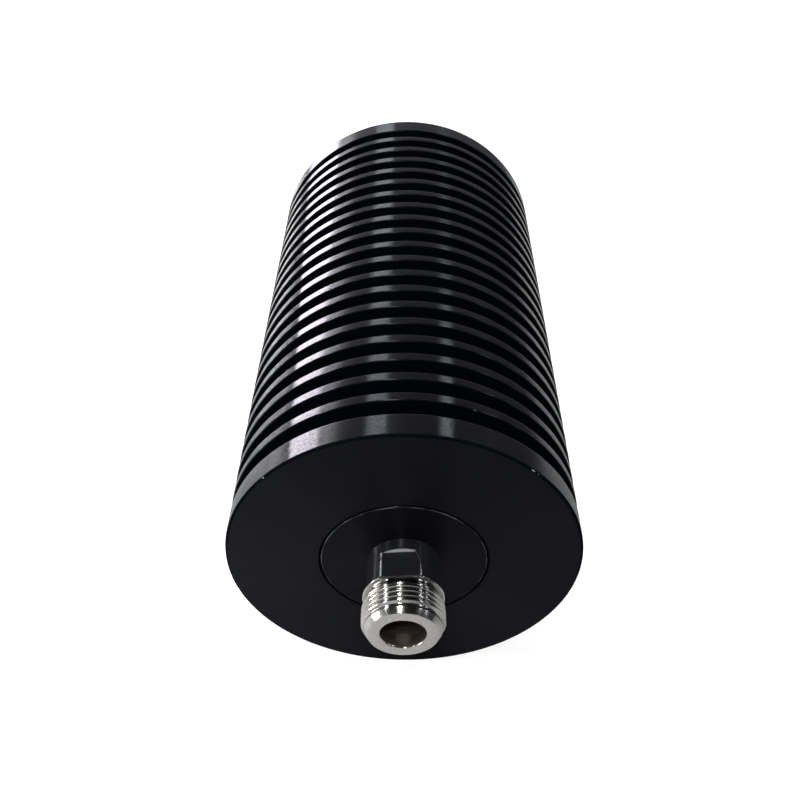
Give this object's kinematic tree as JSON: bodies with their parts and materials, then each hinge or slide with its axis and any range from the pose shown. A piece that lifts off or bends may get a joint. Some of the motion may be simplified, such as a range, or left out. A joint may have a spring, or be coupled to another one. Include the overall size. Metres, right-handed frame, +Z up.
{
  "type": "coaxial attenuator",
  "caption": "Round finned heat sink with a threaded coaxial jack on each end; a clamped ceramic card inside soaks up radio power passing through.",
  "frame": {"origin": "on the surface that the body lies on, under the middle of its length", "axes": "+Y along the body's axis from the front jack to the rear jack, +Z up, +X to the right seen from the front"},
  "size_m": [0.07, 0.154, 0.07],
  "materials": {
    "black_anodised": "black anodised over fine turning marks",
    "black_anodised_cap": "black anodised over faced and milled surfaces",
    "nickel_plate": "nickel plated brass, turned and threaded, bright",
    "gold_plate": "gold plated copper alloy",
    "white_insulator": "white fluoropolymer, turned",
    "silver_strip": "silver plated copper strip",
    "bare_aluminium": "bare, turned outside and milled inside",
    "steel": "plain stainless steel",
    "resistor_ceramic": "unglazed ceramic with a dark resistor film on top",
    "clamp_brass": "bare milled brass"
  },
  "bodies": {
    "root": {"heat_sink": "black_anodised", "front_end_cap": "black_anodised_cap", "rear_end_cap": "black_anodised_cap", "front_connector_shell": "nickel_plate", "rear_connector_shell": "nickel_plate", "front_center_contact": "gold_plate", "rear_center_contact": "gold_plate", "front_contact_insulator": "white_insulator", "rear_contact_insulator": "white_insulator", "front_inner_conductor": "gold_plate", "rear_inner_conductor": "gold_plate", "front_support_bead": "white_insulator", "rear_support_bead": "white_insulator", "front_ground_spring": "gold_plate", "rear_ground_spring": "gold_plate", "front_contact_tab": "silver_strip", "rear_contact_tab": "silver_strip", "core_lower_half": "bare_aluminium", "core_upper_half": "bare_aluminium", "core_screws": "steel", "core_dowels": "steel", "resistor_card": "resistor_ceramic", "left_card_clamp": "clamp_brass", "right_card_clamp": "clamp_brass", "card_clamp_screws": "steel"}
  },
  "joints": []
}
